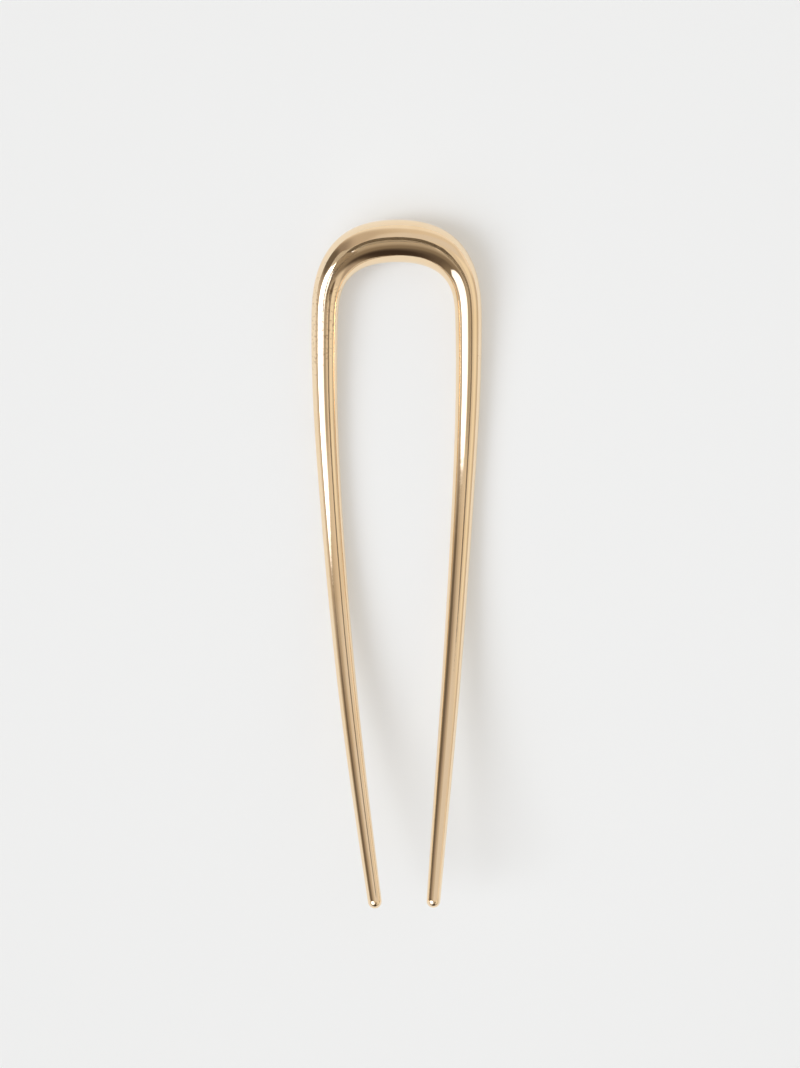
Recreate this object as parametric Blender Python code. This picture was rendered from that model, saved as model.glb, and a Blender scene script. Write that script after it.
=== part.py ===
"""A hairpin cast in one piece: a thick bowed crown that runs into two tapered prongs with domed tips.

Run it with blender --background --python part.py, or from the text editor. Lengths are in metres and +Z is up.
The pin lies on a table at Z = 0, with its crown towards +Y and its tips towards -Y. Seen from the side it is bowed
to follow the head, so it rests on its rounded back with both tips in the air.
"""

from math import cos, pi, sin

import bpy
import numpy as np

MM = 0.001

# Driving sizes of the pin, as a gauge would read them
PIN_LENGTH = 125.0 * MM  # from the crown's outer edge to the ends of the tips, seen from above
SHOULDER_SPAN = 26.5 * MM  # between the centrelines of the prongs, where they are widest apart
TIP_SPAN = 10.6 * MM  # between the centrelines of the prongs, at the tips
CROWN_RISE = 14.7 * MM  # from the shoulders up to the middle of the crown, on the centreline
CROWN_DIAMETER = 7.8 * MM
SHOULDER_DIAMETER = 4.9 * MM
TIP_DIAMETER = 2.5 * MM
BOW_RADIUS = 260.0 * MM  # of the curve in side view, which follows the back of a head

# The crown's centreline, from its middle to the shoulder: share of half the shoulder span to the side, share of the
# crown's rise downwards, and share of the way from the shoulder's diameter up to the crown's
CROWN_SHARES = ((0.0, 0.0, 1.0), (0.64, 0.149, 0.773), (0.905, 0.45, 0.248), (1.0, 1.0, 0.0))

# Each prong's centreline, from just under the shoulder to the tip: share of the way out from the tip's offset to the
# shoulder's, share of the prong's length downwards, and share of the way from the tip's diameter to the shoulder's
PRONG_SHARES = ((0.877, 0.298, 0.652), (0.511, 0.649, 0.397), (0.0, 1.0, 0.0))

# Fineness of the surface
SECTIONS_PER_SPAN = 12  # along the centreline, from each of the places above to the next
DOME_STEPS = 7
ROUND_RESOLUTION = 12  # a round section has twice this many sides, and four more


def smooth_curve(knots, values, places, even):
    """Runs one smooth curve through values at knots and reads it at places.

    The curve bends steadily (its second derivative has no jumps). It starts level where even is true, as a mirrored
    curve does across its middle, and otherwise starts and ends without bending.
    """
    gaps = np.diff(knots)
    slopes = np.diff(values) / gaps
    count = len(knots)
    system = np.identity(count)
    right = np.zeros(count)
    if even:
        system[0, :2] = 2 * gaps[0], gaps[0]
        right[0] = 6 * slopes[0]
    for i in range(1, count - 1):
        system[i, i - 1 : i + 2] = gaps[i - 1], 2 * (gaps[i - 1] + gaps[i]), gaps[i]
        right[i] = 6 * (slopes[i] - slopes[i - 1])
    bends = np.linalg.solve(system, right)
    span = np.clip(np.searchsorted(knots, places, side="right") - 1, 0, count - 2)
    along = places - knots[span]
    gap = gaps[span]
    straight = slopes[span] - gap * (2 * bends[span] + bends[span + 1]) / 6
    return (
        values[span]
        + along * straight
        + along**2 * bends[span] / 2
        + along**3 * (bends[span + 1] - bends[span]) / (6 * gap)
    )


def half_outline():
    """Sections of one half, from the crown's middle to the tip: offset to the side, distance down, and radius."""
    shoulder_offset = SHOULDER_SPAN / 2
    tip_offset = TIP_SPAN / 2
    prong_length = PIN_LENGTH - CROWN_DIAMETER / 2 - CROWN_RISE - TIP_DIAMETER / 2

    offsets = [share * shoulder_offset for share, _, _ in CROWN_SHARES]
    drops = [share * CROWN_RISE for _, share, _ in CROWN_SHARES]
    diameters = [SHOULDER_DIAMETER + share * (CROWN_DIAMETER - SHOULDER_DIAMETER) for _, _, share in CROWN_SHARES]
    offsets += [tip_offset + share * (shoulder_offset - tip_offset) for share, _, _ in PRONG_SHARES]
    drops += [CROWN_RISE + share * prong_length for _, share, _ in PRONG_SHARES]
    diameters += [TIP_DIAMETER + share * (SHOULDER_DIAMETER - TIP_DIAMETER) for _, _, share in PRONG_SHARES]

    knots = np.concatenate([[0], np.cumsum(np.hypot(np.diff(offsets), np.diff(drops)))])
    places = [np.linspace(a, b, SECTIONS_PER_SPAN, endpoint=False) for a, b in zip(knots, knots[1:])]
    places = np.append(np.concatenate(places), knots[-1])
    offset = smooth_curve(knots, np.array(offsets), places, even=False)
    drop = smooth_curve(knots, np.array(drops), places, even=True)
    radius = smooth_curve(knots, np.array(diameters) / 2, places, even=True)
    return offset, drop, radius


def side_heights(offset, drop, radius):
    """Heights of the centreline over the table, for a bowed pin that lies still on its back.

    The pin rolls on its bow until it touches the table under its centre of mass. If the crown comes down on the
    table before that, the pin stays there, on the crown and both prongs.
    """
    bow = BOW_RADIUS - np.sqrt(BOW_RADIUS**2 - drop**2)
    volume = radius**2 * np.hypot(np.gradient(offset), np.gradient(drop))
    balance = np.sum(volume * drop) / np.sum(volume)
    balanced = -np.interp(balance, drop, np.gradient(bow - radius, drop))
    on_prong = drop > CROWN_RISE
    resting = np.max(((radius - radius[0] - bow) / np.maximum(drop, CROWN_RISE))[on_prong])
    height = bow + min(balanced, resting) * drop
    return height - np.min(height - radius)


def pin_sections():
    """All sections from one tip over the crown to the other: centre and radius of each."""
    offset, drop, radius = half_outline()
    height = side_heights(offset, drop, radius)
    middle = PIN_LENGTH / 2 - radius[0]
    centres = np.column_stack([offset, middle - drop, height])

    outwards = centres[-1] - centres[-2]
    outwards /= np.linalg.norm(outwards)
    turns = [pi / 2 * step / (DOME_STEPS + 0.5) for step in range(1, DOME_STEPS + 1)]
    dome = [centres[-1] + outwards * radius[-1] * sin(turn) for turn in turns]
    half = np.vstack([centres, dome])
    radii = np.concatenate([radius, [radius[-1] * cos(turn) for turn in turns]])

    mirrored = half[:0:-1] * (-1, 1, 1)
    return np.vstack([mirrored, half]), np.concatenate([radii[:0:-1], radii])


def gold_plate():
    """Polished yellow gold plating."""
    material = bpy.data.materials.new("gold_plate")
    material.use_nodes = True
    shader = material.node_tree.nodes["Principled BSDF"]
    shader.inputs["Base Color"].default_value = (0.95, 0.74, 0.47, 1.0)
    shader.inputs["Metallic"].default_value = 1.0
    shader.inputs["Roughness"].default_value = 0.08
    return material


def pin_body(collection):
    """The whole pin: a round tube along its centreline, with a radius of its own at every section."""
    centres, radii = pin_sections()
    curve = bpy.data.curves.new("pin_body", "CURVE")
    curve.dimensions = "3D"
    curve.twist_mode = "Z_UP"
    curve.bevel_depth = CROWN_DIAMETER / 2
    curve.bevel_resolution = ROUND_RESOLUTION
    curve.use_fill_caps = True
    spline = curve.splines.new("POLY")
    spline.points.add(len(centres) - 1)
    for point, centre, radius in zip(spline.points, centres, radii):
        point.co = (*centre, 1)
        point.radius = radius / curve.bevel_depth
    curve.materials.append(gold_plate())
    pin = bpy.data.objects.new("pin_body", curve)
    collection.objects.link(pin)
    return pin


def main():
    for old in list(bpy.data.objects):
        bpy.data.objects.remove(old)
    collection = bpy.data.collections.new("hairpin")
    bpy.context.scene.collection.children.link(collection)
    pin_body(collection)


main()
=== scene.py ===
"""A gold-plated hairpin on a pale table, seen from above in soft studio light.

The pin is one piece: a thick bowed crown that runs into two tapered prongs with domed tips. It lies on its
rounded back, with both tips in the air. Lengths are in metres, +Y runs along the pin towards its crown, and
+Z is up.
"""

import logging
import math
from dataclasses import dataclass, field
from enum import Enum

import bpy
import numpy as np
from mathutils import Matrix, Vector

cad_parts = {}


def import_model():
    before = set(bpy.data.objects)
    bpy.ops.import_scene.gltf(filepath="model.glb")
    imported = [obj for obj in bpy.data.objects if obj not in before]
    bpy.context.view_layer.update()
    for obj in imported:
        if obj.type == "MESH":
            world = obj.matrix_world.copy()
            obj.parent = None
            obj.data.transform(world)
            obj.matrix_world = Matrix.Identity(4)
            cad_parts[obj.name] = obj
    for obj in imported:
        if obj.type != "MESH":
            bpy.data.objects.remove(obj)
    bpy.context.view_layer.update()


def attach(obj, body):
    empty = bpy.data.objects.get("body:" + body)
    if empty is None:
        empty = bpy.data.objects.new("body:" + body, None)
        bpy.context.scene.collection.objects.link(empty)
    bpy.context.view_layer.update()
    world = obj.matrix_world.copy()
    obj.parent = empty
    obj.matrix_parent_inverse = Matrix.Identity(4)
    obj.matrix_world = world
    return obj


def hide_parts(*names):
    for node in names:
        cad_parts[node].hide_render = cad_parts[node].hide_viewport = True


LOG = logging.getLogger("hairpin")
MM = 0.001
BODY = "root"
CAD_NODE = "pin_body"
Colour = tuple[float, float, float]
Pair = tuple[float, float]


class Axis(Enum):
    """The axes that a ring is turned about."""

    X = 0
    Y = 1
    Z = 2


def start_clean() -> None:
    """Leaves nothing selected, so that the next operator acts on the new piece alone."""
    bpy.ops.object.select_all(action="DESELECT")


def turn_ring(angle: float, axis: Axis, centre: Vector) -> None:
    """Turns the selected ring.

    Args:
        angle: In radians. Without a window the operator turns the other way round, so it gets the negative.
        axis: The axis to turn about.
        centre: The point to turn about.
    """
    if angle:
        bpy.ops.transform.rotate(value=-angle, orient_axis=axis.name, center_override=centre)


def node(tree: bpy.types.NodeTree, kind: str, **settings: object) -> bpy.types.Node:
    """Adds one node.

    Args:
        tree: The tree of a material or of the room.
        kind: The node's type, such as ShaderNodeMath.
        settings: Its properties, such as operation, by name.

    Returns:
        The new node.
    """
    made = tree.nodes.new(kind)
    for name, value in settings.items():
        setattr(made, name, value)
    return made


def math_node(tree: bpy.types.NodeTree, operation: str, *values: object) -> bpy.types.NodeSocket:
    """Works out one sum in a node tree.

    Args:
        tree: The tree of a material or of the room.
        operation: What to do, such as MULTIPLY.
        values: Sockets to link or numbers to set, in the order of the node's inputs.

    Returns:
        The socket that holds the result.
    """
    made = node(tree, "ShaderNodeMath", operation=operation)
    for place, value in enumerate(values):
        if isinstance(value, bpy.types.NodeSocket):
            tree.links.new(value, made.inputs[place])
        else:
            made.inputs[place].default_value = value
    return made.outputs[0]


def ramp(
    tree: bpy.types.NodeTree, value: bpy.types.NodeSocket, span: Pair, result: Pair = (0.0, 1.0)
) -> bpy.types.NodeSocket:
    """Runs smoothly from one number to another as a value goes through a span.

    Args:
        tree: The tree of a material or of the room.
        value: The socket to read.
        span: The values at which the result starts and stops changing.
        result: The results there.

    Returns:
        The socket that holds the result.
    """
    made = node(tree, "ShaderNodeMapRange", interpolation_type="SMOOTHSTEP")
    tree.links.new(value, made.inputs["Value"])
    for name, number in zip(("From Min", "From Max", "To Min", "To Max"), (*span, *result)):
        made.inputs[name].default_value = number
    return made.outputs["Result"]


def blend(
    tree: bpy.types.NodeTree,
    factor: bpy.types.NodeSocket,
    first: bpy.types.NodeSocket | Colour,
    second: bpy.types.NodeSocket | Colour,
) -> bpy.types.NodeSocket:
    """Blends two colours.

    Args:
        tree: The tree of a material or of the room.
        factor: The socket that says how much of the second colour shows, from 0 to 1.
        first: A colour, or the socket that has it.
        second: The other one, likewise.

    Returns:
        The socket that holds the blended colour.
    """
    made = node(tree, "ShaderNodeMix", data_type="RGBA")
    tree.links.new(factor, made.inputs["Factor"])
    for name, colour in (("A", first), ("B", second)):
        if isinstance(colour, bpy.types.NodeSocket):
            tree.links.new(colour, made.inputs[name])
        else:
            made.inputs[name].default_value = (*colour, 1.0)
    return made.outputs["Result"]


def cloud(
    tree: bpy.types.NodeTree, place: bpy.types.NodeSocket, size: float, detail: float
) -> bpy.types.NodeSocket:
    """Makes a soft irregular pattern.

    Args:
        tree: The material's tree.
        place: The coordinates to read.
        size: Length of the pattern's largest patches.
        detail: How many finer layers it has.

    Returns:
        The pattern, from 0 to 1.
    """
    noise = node(tree, "ShaderNodeTexNoise")
    noise.inputs["Scale"].default_value = 1 / size
    noise.inputs["Detail"].default_value = detail
    tree.links.new(place, noise.inputs["Vector"])
    return noise.outputs["Fac"]


@dataclass(frozen=True)
class SmoothCurve:
    """A curve through given values whose bend never jumps, so that a mirror finish on it shows no kink.

    Attributes:
        knots: Where the values lie, rising.
        values: The values there.
        even: Whether the curve starts level, as one that is mirrored at its start.
    """

    knots: np.ndarray
    values: np.ndarray
    even: bool

    def read(self, places: np.ndarray) -> np.ndarray:
        """Reads the curve.

        Args:
            places: Where to read it, between the first knot and the last.

        Returns:
            The value at each place.
        """
        gaps = np.diff(self.knots)
        slopes = np.diff(self.values) / gaps
        count = len(self.knots)
        system = np.identity(count)
        right = np.zeros(count)
        if self.even:
            system[0, :2] = 2 * gaps[0], gaps[0]
            right[0] = 6 * slopes[0]
        for i in range(1, count - 1):
            system[i, i - 1 : i + 2] = gaps[i - 1], 2 * (gaps[i - 1] + gaps[i]), gaps[i]
            right[i] = 6 * (slopes[i] - slopes[i - 1])
        bends = np.linalg.solve(system, right)
        span = np.clip(np.searchsorted(self.knots, places, side="right") - 1, 0, count - 2)
        along = places - self.knots[span]
        gap = gaps[span]
        straight = slopes[span] - gap * (2 * bends[span] + bends[span + 1]) / 6
        cubic = (bends[span + 1] - bends[span]) / (6 * gap)
        return self.values[span] + along * straight + along**2 * bends[span] / 2 + along**3 * cubic


@dataclass(frozen=True)
class GoldPlate:
    """Polished yellow gold plating on cast metal.

    Attributes:
        colour: What the plating reflects, where it is at its thickest.
        thin_colour: What it reflects where it is thinner.
        roughness: Of the clean polished metal.
        haze: What handling adds to the roughness, at most.
        peel_size: Length of the soft waves that casting and polishing leave.
        peel_height: Height of those waves.
        line_width: Width of the fine polishing lines, which run along the pin.
        line_height: Their depth.
        line_stretch: How much longer than wide they are.
        smudge_size: Length of the smudges, by which the thickness, the haze and the dimples vary.
        speck_size: Width of the tiny dimples that polishing has left in places.
        speck_height: Their depth.
        dimple_colour: The darker, browner gold that the dimples are given.
        cast_zone: How far along +Y they start and reach their full strength, towards the thick crown.
        thick_span: From thin to thick plating, in the pattern of the smudges.
        haze_span: From clean to hazy, in the same pattern.
        speck_span: From no dimples to all of them, in the same pattern.
        drawn_span: From smooth to drawn metal, in the pattern of the polishing lines.
        dimple_tone_span: From plain gold to that darker colour, in the pattern of the dimples.
    """

    colour: Colour = (0.985, 0.785, 0.54)
    thin_colour: Colour = (0.97, 0.75, 0.49)
    roughness: float = 0.045
    haze: float = 0.035
    peel_size: float = 3.2 * MM
    peel_height: float = 0.014 * MM
    line_width: float = 0.16 * MM
    line_height: float = 0.0006 * MM
    line_stretch: float = 40.0
    smudge_size: float = 16.0 * MM
    speck_size: float = 0.45 * MM
    speck_height: float = 0.002 * MM
    dimple_colour: Colour = (0.76, 0.56, 0.36)
    cast_zone: Pair = (8.0 * MM, 28.0 * MM)
    thick_span: Pair = (0.3, 0.55)
    haze_span: Pair = (0.45, 0.75)
    speck_span: Pair = (0.46, 0.62)
    drawn_span: Pair = (0.5, 0.8)
    dimple_tone_span: Pair = (0.55, 0.7)

    def material(self) -> bpy.types.Material:
        """Makes the plating as a procedural material.

        Returns:
            The material, which reads Object coordinates and the pin's own attribute "straightened".
        """
        made = bpy.data.materials.new("gold_plate")
        made.use_nodes = True
        tree = made.node_tree
        shader = tree.nodes["Principled BSDF"]
        shader.inputs["Metallic"].default_value = 1.0
        place = node(tree, "ShaderNodeTexCoord").outputs["Object"]
        straight = node(tree, "ShaderNodeAttribute", attribute_name="straightened").outputs["Vector"]

        peel = cloud(tree, place, self.peel_size, detail=2.0)
        lines = cloud(tree, self.stretched(tree, straight), self.line_width, detail=3.0)
        smudges = cloud(tree, place, self.smudge_size, detail=4.0)
        dimples = self.dimples(tree, place, smudges)

        plated = blend(tree, ramp(tree, smudges, self.thick_span), self.thin_colour, self.colour)
        # The dimples are coloured a darker, browner gold.
        dimple_toned = blend(tree, ramp(tree, dimples, self.dimple_tone_span), plated, self.dimple_colour)
        tree.links.new(dimple_toned, shader.inputs["Base Color"])

        handled = ramp(tree, smudges, self.haze_span, (self.roughness, self.roughness + self.haze))
        drawn = ramp(tree, lines, self.drawn_span, (0.0, self.haze / 2))
        tree.links.new(math_node(tree, "ADD", handled, drawn), shader.inputs["Roughness"])

        waves = self.relief(tree, peel, self.peel_height)
        scratched = self.relief(tree, lines, self.line_height, waves)
        dimpled = self.relief(tree, dimples, self.speck_height, scratched)
        tree.links.new(dimpled, shader.inputs["Normal"])
        return made

    def dimples(
        self, tree: bpy.types.NodeTree, place: bpy.types.NodeSocket, smudges: bpy.types.NodeSocket
    ) -> bpy.types.NodeSocket:
        """Makes the pattern of the dimples, which the thick end of the pin has in places.

        Args:
            tree: The material's tree.
            place: The coordinates to read.
            smudges: The pattern of the smudges.

        Returns:
            The pattern, from 0 to 1.
        """
        specks = cloud(tree, place, self.speck_size, detail=1.0)
        along = node(tree, "ShaderNodeSeparateXYZ")
        tree.links.new(place, along.inputs["Vector"])
        cast = ramp(tree, along.outputs["Y"], self.cast_zone)
        uneven = math_node(tree, "MULTIPLY", ramp(tree, smudges, self.speck_span), cast)
        return math_node(tree, "MULTIPLY", specks, uneven)

    def stretched(self, tree: bpy.types.NodeTree, place: bpy.types.NodeSocket) -> bpy.types.NodeSocket:
        """Draws coordinates out along the pin.

        Args:
            tree: The material's tree.
            place: The coordinates on the straightened pin.

        Returns:
            The new coordinates, in which a pattern comes out long and thin.
        """
        mapping = node(tree, "ShaderNodeMapping")
        mapping.inputs["Scale"].default_value = (1.0, 1.0, 1 / self.line_stretch)
        tree.links.new(place, mapping.inputs["Vector"])
        return mapping.outputs["Vector"]

    @staticmethod
    def relief(
        tree: bpy.types.NodeTree,
        height: bpy.types.NodeSocket,
        distance: float,
        under: bpy.types.NodeSocket | None = None,
    ) -> bpy.types.NodeSocket:
        """Raises a pattern on the surface.

        Args:
            tree: The material's tree.
            height: The pattern, from 0 to 1.
            distance: How high 1 stands over 0.
            under: A coarser relief that it lies on, if there is one.

        Returns:
            The surface's new normal.
        """
        bump = node(tree, "ShaderNodeBump")
        bump.inputs["Strength"].default_value = 1.0
        bump.inputs["Distance"].default_value = distance
        tree.links.new(height, bump.inputs["Height"])
        if under:
            tree.links.new(under, bump.inputs["Normal"])
        return bump.outputs["Normal"]


@dataclass(frozen=True)
class Station:
    """One round section of the pin.

    Attributes:
        centre: Its centre.
        heading: The way that the centreline runs there.
        radius: Its radius.
    """

    centre: Vector
    heading: Vector
    radius: float


@dataclass
class PinBody:
    """The whole pin, modelled as one ring that is drawn out from the crown's middle to a tip, and mirrored.

    Attributes:
        length: From the crown's outer edge to the ends of the tips, seen from above.
        shoulder_span: Between the prongs' centrelines, where they are widest apart.
        tip_span: Between the prongs' centrelines, at the tips.
        crown_rise: From the shoulders up to the crown's middle, on the centreline.
        crown_diameter: Thickness of the crown at its middle.
        shoulder_diameter: Thickness of a prong at the shoulder.
        tip_diameter: Thickness of a prong at its tip.
        bow_radius: Of the curve in side view.
        crown_shares: Places on the crown's centreline: share of half the shoulder span to the side, share of
            the rise downwards, and share of the way from the shoulder's diameter up to the crown's.
        prong_shares: Places on a prong's centreline: share of the way out from the tip's offset to the
            shoulder's, share of the prong's length downwards, and share of the way from the tip's diameter
            to the shoulder's.
        sides: Corners of the drawn ring, before it is smoothed.
        rings_per_span: Rings from one of the places above to the next.
        dome_rings: Rings on the dome of a tip.
        merge_gap: How near points of the two halves lie where they are joined.
        finish: The plating.
    """

    length: float = 125.0 * MM
    shoulder_span: float = 26.5 * MM
    tip_span: float = 10.6 * MM
    crown_rise: float = 14.7 * MM
    crown_diameter: float = 7.8 * MM
    shoulder_diameter: float = 4.9 * MM
    tip_diameter: float = 2.5 * MM
    bow_radius: float = 260.0 * MM
    crown_shares: tuple[tuple[float, float, float], ...] = (
        (0.0, 0.0, 1.0),
        (0.64, 0.149, 0.773),
        (0.905, 0.45, 0.248),
        (1.0, 1.0, 0.0),
    )
    prong_shares: tuple[tuple[float, float, float], ...] = (
        (0.877, 0.298, 0.652),
        (0.511, 0.649, 0.397),
        (0.0, 1.0, 0.0),
    )
    sides: int = 48
    rings_per_span: int = 16
    dome_rings: int = 6
    merge_gap: float = 0.01 * MM
    finish: GoldPlate = field(default_factory=GoldPlate)

    def build(self) -> bpy.types.Object:
        """Models, smooths and dresses the pin.

        Returns:
            The finished pin, in place of the plain solid.
        """
        stations = self.stations()
        pin = self.first_ring(stations[0])
        bpy.ops.object.mode_set(mode="EDIT")
        for behind, ahead in zip(stations, stations[1:]):
            self.draw_ring(behind, ahead)
        self.close_tip(stations[-1])
        bpy.ops.object.mode_set(mode="OBJECT")
        self.mirror_and_smooth(pin)
        self.straighten_pattern(pin, stations)
        pin.data.materials.append(self.finish.material())
        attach(pin, BODY)
        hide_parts(CAD_NODE)
        LOG.info("%s: %d faces, %d rings a side", pin.name, len(pin.data.polygons), len(stations))
        return pin

    def outline(self) -> tuple[np.ndarray, np.ndarray, np.ndarray]:
        """Works out the half outline from above.

        Returns:
            Each section's offset to the side, distance down from the crown's middle, and radius.
        """
        shoulder, tip = self.shoulder_span / 2, self.tip_span / 2
        prong = self.length - self.crown_diameter / 2 - self.crown_rise - self.tip_diameter / 2
        thicker = self.crown_diameter - self.shoulder_diameter
        taper = self.shoulder_diameter - self.tip_diameter
        offsets = [share * shoulder for share, _, _ in self.crown_shares]
        offsets += [tip + share * (shoulder - tip) for share, _, _ in self.prong_shares]
        drops = [share * self.crown_rise for _, share, _ in self.crown_shares]
        drops += [self.crown_rise + share * prong for _, share, _ in self.prong_shares]
        diameters = [self.shoulder_diameter + share * thicker for _, _, share in self.crown_shares]
        diameters += [self.tip_diameter + share * taper for _, _, share in self.prong_shares]

        knots = np.concatenate([[0], np.cumsum(np.hypot(np.diff(offsets), np.diff(drops)))])
        spans = [np.linspace(a, b, self.rings_per_span, endpoint=False) for a, b in zip(knots, knots[1:])]
        places = np.append(np.concatenate(spans), knots[-1])
        offset = SmoothCurve(knots, np.array(offsets), even=False).read(places)
        drop = SmoothCurve(knots, np.array(drops), even=True).read(places)
        radius = SmoothCurve(knots, np.array(diameters) / 2, even=True).read(places)
        return offset, drop, radius

    def heights(self, offset: np.ndarray, drop: np.ndarray, radius: np.ndarray) -> np.ndarray:
        """Lays the bowed pin on the table, where it balances on its back or rests on its crown.

        Args:
            offset: Each section's distance to the side.
            drop: Its distance down from the crown's middle.
            radius: Its radius.

        Returns:
            The height of each section's centre over the table.
        """
        bow = self.bow_radius - np.sqrt(self.bow_radius**2 - drop**2)
        volume = radius**2 * np.hypot(np.gradient(offset), np.gradient(drop))
        balance = np.sum(volume * drop) / np.sum(volume)
        balanced = -np.interp(balance, drop, np.gradient(bow - radius, drop))
        on_prong = drop > self.crown_rise
        resting = np.max(((radius - radius[0] - bow) / np.maximum(drop, self.crown_rise))[on_prong])
        height = bow + min(balanced, resting) * drop
        return height - np.min(height - radius)

    def stations(self) -> list[Station]:
        """Lists the sections of the right half, over the shoulder and down the prong.

        Returns:
            The sections, from the crown's middle to the last ring of the tip's dome.
        """
        offset, drop, radius = self.outline()
        height = self.heights(offset, drop, radius)
        centres = np.column_stack([offset, self.length / 2 - radius[0] - drop, height])
        headings = np.gradient(centres, axis=0)
        headings[0] = (1, 0, 0)
        made = [
            Station(Vector(centre), Vector(heading).normalized(), float(size))
            for centre, heading, size in zip(centres, headings, radius)
        ]
        end = made[-1]
        for step in range(1, self.dome_rings + 1):
            turn = math.pi / 2 * step / (self.dome_rings + 1)
            centre = end.centre + end.heading * end.radius * math.sin(turn)
            made.append(Station(centre, end.heading, end.radius * math.cos(turn)))
        return made

    def first_ring(self, station: Station) -> bpy.types.Object:
        """Adds the ring at the crown's middle, upright across the pin.

        Args:
            station: The section there.

        Returns:
            The new object, at the origin with its place in its mesh.
        """
        start_clean()
        bpy.ops.mesh.primitive_circle_add(
            vertices=self.sides,
            radius=self.cage_radius(station),
            location=station.centre,
            rotation=(0, math.pi / 2, 0),
        )
        pin = bpy.context.object
        pin.name = pin.data.name = "gold_hairpin"
        bpy.ops.object.transform_apply(location=True, rotation=True, scale=True)
        bpy.context.tool_settings.mesh_select_mode = (False, True, False)
        return pin

    def cage_radius(self, station: Station) -> float:
        """Radius of a drawn ring that smooths down to the section's own radius."""
        return station.radius / math.cos(math.pi / self.sides)

    @staticmethod
    def draw_ring(behind: Station, ahead: Station) -> None:
        """Draws the selected ring out to the next section, and turns and sizes it there.

        Args:
            behind: The section that the ring comes from.
            ahead: The section that it goes to.
        """
        step = ahead.centre - behind.centre
        bpy.ops.mesh.extrude_region_move(TRANSFORM_OT_translate={"value": step})
        angles = behind.heading.rotation_difference(ahead.heading).to_euler("XYZ")
        for axis in Axis:
            turn_ring(angles[axis.value], axis, ahead.centre)
        share = ahead.radius / behind.radius
        bpy.ops.transform.resize(value=(share, share, share), center_override=ahead.centre)

    def close_tip(self, station: Station) -> None:
        """Draws the last ring of the dome to a point at the tip's end.

        Args:
            station: The section of that ring.
        """
        rise = station.radius * math.tan(math.pi / 4 / (self.dome_rings + 1))
        bpy.ops.mesh.extrude_region_move(TRANSFORM_OT_translate={"value": station.heading * rise})
        bpy.ops.mesh.merge(type="CENTER")

    def mirror_and_smooth(self, pin: bpy.types.Object) -> None:
        """Adds the left half and rounds the drawn cage.

        Args:
            pin: The right half.
        """
        mirror = pin.modifiers.new("left_half", "MIRROR")
        mirror.merge_threshold = self.merge_gap
        smooth = pin.modifiers.new("rounding", "SUBSURF")
        smooth.levels = smooth.render_levels = 1
        for modifier in (mirror.name, smooth.name):
            bpy.ops.object.modifier_apply(modifier=modifier)
        bpy.ops.object.mode_set(mode="EDIT")
        bpy.ops.mesh.select_all(action="SELECT")
        bpy.ops.mesh.normals_make_consistent(inside=False)
        bpy.ops.object.mode_set(mode="OBJECT")
        bpy.ops.object.shade_smooth()

    @staticmethod
    def straighten_pattern(pin: bpy.types.Object, stations: list[Station]) -> None:
        """Gives each point its place on a straightened pin, so that polishing lines follow the bend.

        Args:
            pin: The finished mesh.
            stations: The sections of the right half.
        """
        centres = np.array([station.centre for station in stations])
        headings = np.array([station.heading for station in stations])
        along = np.concatenate([[0], np.cumsum(np.linalg.norm(np.diff(centres, axis=0), axis=1))])
        points = np.empty(len(pin.data.vertices) * 3)
        pin.data.vertices.foreach_get("co", points)
        points = points.reshape(-1, 3)
        side = np.where(points[:, 0] < 0, -1.0, 1.0)
        folded = points * np.column_stack([side, np.ones_like(side), np.ones_like(side)])
        nearest = np.array([np.argmin(np.sum((centres - point) ** 2, axis=1)) for point in folded])
        reach = folded - centres[nearest]
        heading = headings[nearest]
        across = np.cross(heading, (0, 0, 1))
        across /= np.linalg.norm(across, axis=1)[:, None]
        upward = np.cross(across, heading)
        sideways = np.sum(reach * across, axis=1) * side
        up = np.sum(reach * upward, axis=1)
        ahead = (along[nearest] + np.sum(reach * heading, axis=1)) * side
        attribute = pin.data.attributes.new("straightened", "FLOAT_VECTOR", "POINT")
        straight = np.column_stack([sideways, up, ahead])
        attribute.data.foreach_set("vector", straight.astype(np.float32).ravel())


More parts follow.
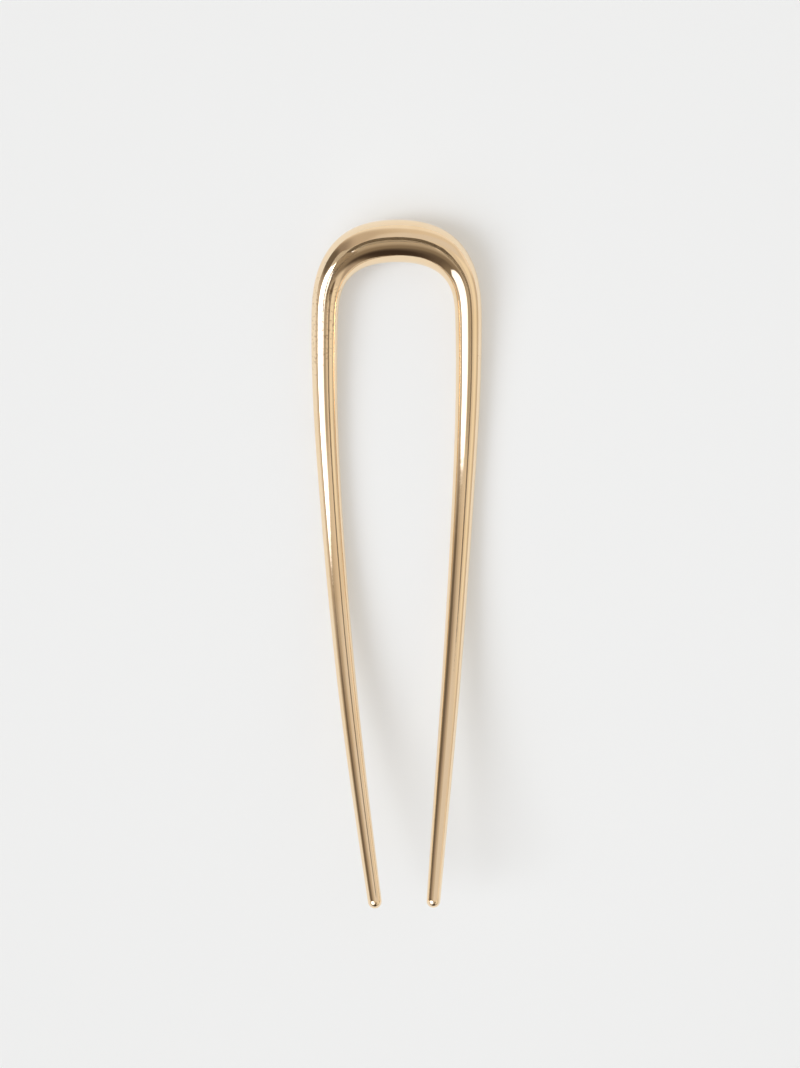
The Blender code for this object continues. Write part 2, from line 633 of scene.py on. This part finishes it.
@dataclass(frozen=True)
class PaleTable:
    """Matt pale paint, with the faint unevenness of a real table top.

    Attributes:
        colour: Of the paint in the middle of the table, paler there as a painted pool of light.
        painted_falloff_colour: Of the paint further out, dimmer where the painted light falls off.
        fade: How far from the middle the painted light starts and stops falling off from one colour to the
            other.
        mottle: Length of its faint clouds.
        mottle_share: How much the clouds add to that change, from the palest to the dimmest.
        roughness: Of the paint.
        sheen: Its specular level.
        glow: What the pale surface shows of itself, whatever shadow lies on it.
        glow_share: How much of what the camera and the metal see is this glow.
    """

    # The paler middle and the dimmer outside are a painted pool of light.
    colour: Colour = (0.892, 0.913, 0.905)
    painted_falloff_colour: Colour = (0.872, 0.892, 0.882)
    fade: Pair = (40.0 * MM, 160.0 * MM)
    mottle: float = 60.0 * MM
    mottle_share: float = 0.2
    roughness: float = 0.9
    sheen: float = 0.1
    glow: Colour = (0.877, 0.871, 0.855)
    glow_share: float = 0.3

    def material(self) -> bpy.types.Material:
        """Makes the paint, with its painted pool of light.

        Returns:
            The material. The camera and the pin see it a little lighter in the shadows than it is.
        """
        made = bpy.data.materials.new("pale_table")
        made.use_nodes = True
        tree = made.node_tree
        shader = tree.nodes["Principled BSDF"]
        shader.inputs["Roughness"].default_value = self.roughness
        shader.inputs["Specular IOR Level"].default_value = self.sheen
        place = node(tree, "ShaderNodeTexCoord").outputs["Object"]
        length = node(tree, "ShaderNodeVectorMath", operation="LENGTH")
        tree.links.new(place, length.inputs[0])
        # Painted pool of light: the paint dims from the middle of the table outwards.
        painted_falloff = ramp(tree, length.outputs["Value"], self.fade)
        clouds = cloud(tree, place, self.mottle, detail=2.0)
        uneven = math_node(tree, "MULTIPLY_ADD", clouds, self.mottle_share, -self.mottle_share / 2)
        paint = blend(tree, math_node(tree, "ADD", painted_falloff, uneven), self.colour, self.painted_falloff_colour)
        tree.links.new(paint, shader.inputs["Base Color"])

        glow = node(tree, "ShaderNodeEmission")
        glow.inputs["Color"].default_value = (*self.glow, 1.0)
        path = node(tree, "ShaderNodeLightPath")
        seen = math_node(tree, "MAXIMUM", path.outputs["Is Camera Ray"], path.outputs["Is Glossy Ray"])
        seen = math_node(tree, "MAXIMUM", seen, path.outputs["Is Transmission Ray"])
        both = node(tree, "ShaderNodeMixShader")
        tree.links.new(math_node(tree, "MULTIPLY", seen, self.glow_share), both.inputs["Fac"])
        tree.links.new(shader.outputs["BSDF"], both.inputs[1])
        tree.links.new(glow.outputs["Emission"], both.inputs[2])
        tree.links.new(both.outputs["Shader"], tree.nodes["Material Output"].inputs["Surface"])
        return made


@dataclass
class Table:
    """The table that the pin lies on: a round top, wide enough to reach the horizon.

    Attributes:
        radius: Of the top.
        thickness: Of the top.
        sides: Corners of its rim.
        finish: Its paint.
    """

    radius: float = 9.0
    thickness: float = 0.04
    sides: int = 128
    finish: PaleTable = field(default_factory=PaleTable)

    def build(self) -> bpy.types.Object:
        """Models the table top.

        Returns:
            The table, with its top at Z = 0.
        """
        start_clean()
        bpy.ops.mesh.primitive_circle_add(vertices=self.sides, radius=self.radius, fill_type="NGON")
        table = bpy.context.object
        table.name = table.data.name = "table"
        bpy.ops.object.mode_set(mode="EDIT")
        bpy.ops.mesh.select_all(action="SELECT")
        bpy.ops.mesh.extrude_region_move(TRANSFORM_OT_translate={"value": (0, 0, -self.thickness)})
        bpy.ops.mesh.select_all(action="SELECT")
        bpy.ops.mesh.normals_make_consistent(inside=False)
        bpy.ops.object.mode_set(mode="OBJECT")
        table.data.materials.append(self.finish.material())
        LOG.info("%s: %.1f m across", table.name, 2 * self.radius)
        return table


def direction(place: Pair) -> Vector:
    """Turns a place on the room's map into a direction.

    Args:
        place: Degrees from straight up, towards +X and towards +Y.

    Returns:
        The direction, of length 1.
    """
    tilt = math.radians(math.hypot(*place))
    bearing = math.atan2(place[1], place[0])
    return Vector((math.sin(tilt) * math.cos(bearing), math.sin(tilt) * math.sin(bearing), math.cos(tilt)))


@dataclass(frozen=True)
class RoomPatch:
    """One surface of the room around the table, as the pin sees it: a flat shape with soft edges.

    Attributes:
        name: What it is.
        corners: Its corners on the room's map, counter-clockwise as seen on the map.
        light: How bright it is, as a colour.
        softness: Width in degrees over which its edges fade.
    """

    name: str
    corners: tuple[Pair, ...]
    light: Colour
    softness: float

    def mask(self, tree: bpy.types.NodeTree, ray: bpy.types.NodeSocket) -> bpy.types.NodeSocket:
        """Works out how much of the patch a ray sees.

        Args:
            tree: The room's tree.
            ray: The ray's direction.

        Returns:
            1 inside the patch, 0 outside, and a smooth step between.
        """
        reach = math.sin(math.radians(self.softness / 2))
        seen = None
        for here, there in zip(self.corners, self.corners[1:] + self.corners[:1]):
            inwards = direction(here).cross(direction(there)).normalized()
            dot = node(tree, "ShaderNodeVectorMath", operation="DOT_PRODUCT")
            tree.links.new(ray, dot.inputs[0])
            dot.inputs[1].default_value = inwards
            edge = ramp(tree, dot.outputs["Value"], (-reach, reach))
            seen = edge if seen is None else math_node(tree, "MULTIPLY", seen, edge)
        return seen


@dataclass
class Studio:
    """The room around the table: pale walls, one large soft box and the dark places between them.

    Attributes:
        wall: Light of the walls and ceiling.
        patches: What differs from the walls, from the back to the front.
    """

    wall: Colour = (0.715, 0.645, 0.56)
    patches: tuple[RoomPatch, ...] = (
        RoomPatch("paper", ((-70, 58), (8, 64), (70, 46), (70, 80), (-70, 80)), (0.87, 0.84, 0.80), 16.0),
        RoomPatch("bright wall", ((43, 10), (41, -30), (62, -40), (66, 10)), (0.87, 0.81, 0.69), 10.0),
        RoomPatch("pale door", ((68, 50), (68, 12), (88, 14), (84, 50)), (0.86, 0.80, 0.74), 8.0),
        RoomPatch("far wall", ((69, 10), (67, -50), (84, -46), (86, 10)), (0.57, 0.50, 0.44), 8.0),
        RoomPatch("low wall", ((22, -52), (22, -86), (66, -62), (72, -46)), (0.42, 0.36, 0.31), 12.0),
        RoomPatch(
            "left wall",
            ((-58, 12), (-92, 14), (-86, -50), (-62, -74), (-44, -62)),
            (0.50, 0.44, 0.40),
            10.0,
        ),
        RoomPatch("left sheet", ((-76, 8), (-100, 10), (-96, -24), (-76, -22)), (0.74, 0.70, 0.66), 10.0),
        RoomPatch(
            "corner, pale",
            ((0, 6), (4, 60), (-40, 74), (-84, 44), (-84, 6)),
            (0.54, 0.47, 0.40),
            32.0,
        ),
        RoomPatch(
            "corner, dim",
            ((-22, 7), (-28, 32), (-44, 60), (-70, 62), (-92, 40), (-80, 6)),
            (0.30, 0.25, 0.21),
            26.0,
        ),
        RoomPatch(
            "corner, dark",
            ((-44, 5), (-48, 26), (-62, 44), (-78, 48), (-90, 38), (-80, 18), (-68, 6)),
            (0.15, 0.125, 0.10),
            10.0,
        ),
        RoomPatch("ceiling", ((-8, 12), (58, 12), (56, 38), (-2, 38)), (0.71, 0.67, 0.64), 14.0),
        RoomPatch(
            "shelf",
            ((15, -16), (17, -30), (28, -34), (38, -24), (38, -14)),
            (0.155, 0.125, 0.095),
            6.0,
        ),
        RoomPatch("camera", ((-8, -1), (-12, -40), (15, -40), (12, -1)), (0.44, 0.39, 0.33), 5.0),
        RoomPatch(
            "front, pale",
            ((-7, -23), (-60, -48), (-50, -86), (26, -86), (22, -36), (14, -25)),
            (0.235, 0.195, 0.15),
            20.0,
        ),
        RoomPatch("front, dim", ((-6, -42), (-40, -84), (26, -86), (20, -44)), (0.125, 0.10, 0.08), 14.0),
        RoomPatch(
            "front, dark",
            ((-4, -58), (-14, -84), (22, -86), (22, -58), (15, -45)),
            (0.045, 0.032, 0.025),
            16.0,
        ),
        RoomPatch(
            "soft box",
            (
                (-61, 1.8),
                (-65, -5),
                (-62, -36),
                (-42, -60),
                (-20, -54),
                (-8, -42),
                (-2, -32),
                (-11, -8),
                (-14, 1),
                (-40, 3.4),
            ),
            (1.5, 1.6, 1.85),
            3.0,
        ),
        RoomPatch("lamp", ((-54, -1), (-58, -8), (-57, -22), (-34, -20), (-28, -1)), (9.9, 10.3, 11.0), 8.0),
    )

    def build(self) -> None:
        """Paints the room into the world."""
        world = bpy.data.worlds.new("studio")
        bpy.context.scene.world = world
        world.use_nodes = True
        tree = world.node_tree
        ray = node(tree, "ShaderNodeTexCoord").outputs["Generated"]
        light: bpy.types.NodeSocket | Colour = self.wall
        for patch in self.patches:
            light = blend(tree, patch.mask(tree, ray), light, patch.light)
        tree.links.new(light, tree.nodes["Background"].inputs["Color"])
        LOG.info("studio: %d patches", len(self.patches))


@dataclass
class Boom:
    """A bent round bar of a lamp stand, just over the crown, which shows on the gold as a soft band.

    Attributes:
        name: What the bar is called.
        thickness: Of the bar.
        height: Of its centreline over the table.
        bends: Points of its centreline in millimetres, seen from above.
        colour: Of its paint.
        end_colour: Of the paint on the part that reaches towards the prongs, where it differs.
        fade: How far along +Y the paint starts and stops changing from that to its colour.
        roughness: Of its paint.
        sides: Corners of its section.
    """

    name: str
    thickness: float
    height: float
    bends: tuple[Pair, ...]
    colour: Colour
    end_colour: Colour | None = None
    fade: Pair = (24.0 * MM, 48.0 * MM)
    roughness: float = 0.8
    sides: int = 24

    def build(self) -> bpy.types.Object:
        """Models the bar as a ring that is drawn from bend to bend, and shows it to mirror rays alone.

        Returns:
            The bar.
        """
        start_clean()
        points = [Vector((x * MM, y * MM, self.height)) for x, y in self.bends]
        steps = [(there - here).normalized() for here, there in zip(points, points[1:])]
        headings = [steps[0]] + [(a + b).normalized() for a, b in zip(steps, steps[1:])] + [steps[-1]]
        bpy.ops.mesh.primitive_circle_add(
            vertices=self.sides,
            radius=self.thickness / 2,
            fill_type="NGON",
            location=points[0],
            rotation=Vector((0, 0, 1)).rotation_difference(headings[0]).to_euler(),
        )
        bar = bpy.context.object
        bar.name = bar.data.name = self.name
        bpy.ops.object.transform_apply(location=True, rotation=True, scale=True)
        bpy.context.tool_settings.mesh_select_mode = (False, False, True)
        bpy.ops.object.mode_set(mode="EDIT")
        bpy.ops.mesh.select_all(action="SELECT")
        for index in range(1, len(points)):
            step = points[index] - points[index - 1]
            bpy.ops.mesh.extrude_region_move(TRANSFORM_OT_translate={"value": step})
            bend = headings[index - 1].rotation_difference(headings[index]).to_euler().z
            turn_ring(bend, Axis.Z, points[index])
        bpy.ops.mesh.select_all(action="SELECT")
        bpy.ops.mesh.normals_make_consistent(inside=False)
        bpy.ops.object.mode_set(mode="OBJECT")
        bpy.ops.object.shade_smooth()
        bar.data.materials.append(self.paint())
        bar.visible_camera = bar.visible_diffuse = bar.visible_shadow = False
        LOG.info("%s: %d bends", bar.name, len(self.bends))
        return bar

    def paint(self) -> bpy.types.Material:
        """Makes the bar's matt paint, which may change its tone towards the prongs.

        Returns:
            The material.
        """
        made = bpy.data.materials.new(self.name + "_paint")
        made.use_nodes = True
        tree = made.node_tree
        shader = tree.nodes["Principled BSDF"]
        shader.inputs["Roughness"].default_value = self.roughness
        if self.end_colour is None:
            shader.inputs["Base Color"].default_value = (*self.colour, 1.0)
            return made
        place = node(tree, "ShaderNodeSeparateXYZ")
        tree.links.new(node(tree, "ShaderNodeTexCoord").outputs["Object"], place.inputs["Vector"])
        tone = blend(tree, ramp(tree, place.outputs["Y"], self.fade), self.end_colour, self.colour)
        tree.links.new(tone, shader.inputs["Base Color"])
        return made


@dataclass
class LampStand:
    """The lamp stand over the crown: a dark arch, a low clip, a grey bar and a pale one on its left.

    Attributes:
        bars: Its bars.
    """

    bars: tuple[Boom, ...] = (
        Boom(
            name="dark_arch",
            thickness=27.0 * MM,
            height=105.0 * MM,
            bends=(
                (-45, 31),
                (-46, 42),
                (-41, 53),
                (-34, 63),
                (-23, 70),
                (-9, 74),
                (5, 74),
                (18, 70),
                (30, 63),
                (40, 54),
                (47, 44),
                (51, 33),
                (52, 22),
                (51, 10),
            ),
            colour=(0.165, 0.135, 0.10),
            end_colour=(0.3, 0.255, 0.2),
        ),
        Boom(
            name="low_clip",
            thickness=8.4 * MM,
            height=30.0 * MM,
            bends=((-10.5, 45), (-21.5, 53)),
            colour=(0.38, 0.32, 0.25),
            end_colour=(0.24, 0.2, 0.155),
            fade=(44.0 * MM, 50.0 * MM),
        ),
        Boom(
            name="grey_bar",
            thickness=34.0 * MM,
            height=118.0 * MM,
            bends=((-42, 59), (-10, 58), (20, 58), (54, 50)),
            colour=(0.43, 0.38, 0.32),
        ),
        Boom(
            name="pale_bar",
            thickness=42.0 * MM,
            height=126.0 * MM,
            bends=((-120, 84), (-88, 66), (-64, 60), (-30, 66)),
            colour=(0.62, 0.57, 0.5),
        ),
    )

    def build(self) -> None:
        """Models all its bars."""
        for bar in self.bars:
            bar.build()


@dataclass(frozen=True)
class CameraView:
    """The view from above, leaning a little to the pin's left.

    Attributes:
        target: The point on the table in the middle of the picture.
        distance: From there to the camera.
        lean: How far the camera leans to the left of straight up, in degrees.
        roll: How far the picture is turned, in degrees.
        lens: Focal length in millimetres, for the sensor's height below.
        sensor: The sensor's height in millimetres.
    """

    target: tuple[float, float, float] = (0.73 * MM, 4.93 * MM, 0.0)
    distance: float = 0.7
    lean: float = 4.41
    roll: float = -0.203
    lens: float = 85.27
    sensor: float = 24.0

    def build(self) -> bpy.types.Object:
        """Sets up the camera and makes it the scene's own.

        Returns:
            The camera.
        """
        lean, roll = math.radians(self.lean), math.radians(self.roll)
        back = Vector((-math.sin(lean), 0, math.cos(lean)))
        right = (-back).cross(Vector((0, 1, 0))).normalized()
        up = right.cross(-back)
        right, up = (
            math.cos(roll) * right + math.sin(roll) * up,
            math.cos(roll) * up - math.sin(roll) * right,
        )
        data = bpy.data.cameras.new("camera")
        data.sensor_fit = "VERTICAL"
        data.sensor_height = self.sensor
        data.lens = self.lens
        camera = bpy.data.objects.new("camera", data)
        turn = Matrix((right, up, back)).transposed().to_4x4()
        camera.matrix_world = Matrix.Translation(Vector(self.target) + back * self.distance) @ turn
        bpy.context.scene.collection.objects.link(camera)
        bpy.context.scene.camera = camera
        return camera


def main() -> None:
    """Dresses the pin and sets up the table, the room, the lamp stand and the camera around it."""
    logging.basicConfig(level=logging.INFO, format="%(name)s: %(message)s")
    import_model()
    bpy.context.scene.view_settings.view_transform = "Standard"
    PinBody().build()
    Table().build()
    Studio().build()
    LampStand().build()
    CameraView().build()


if __name__ == "__main__":
    main()
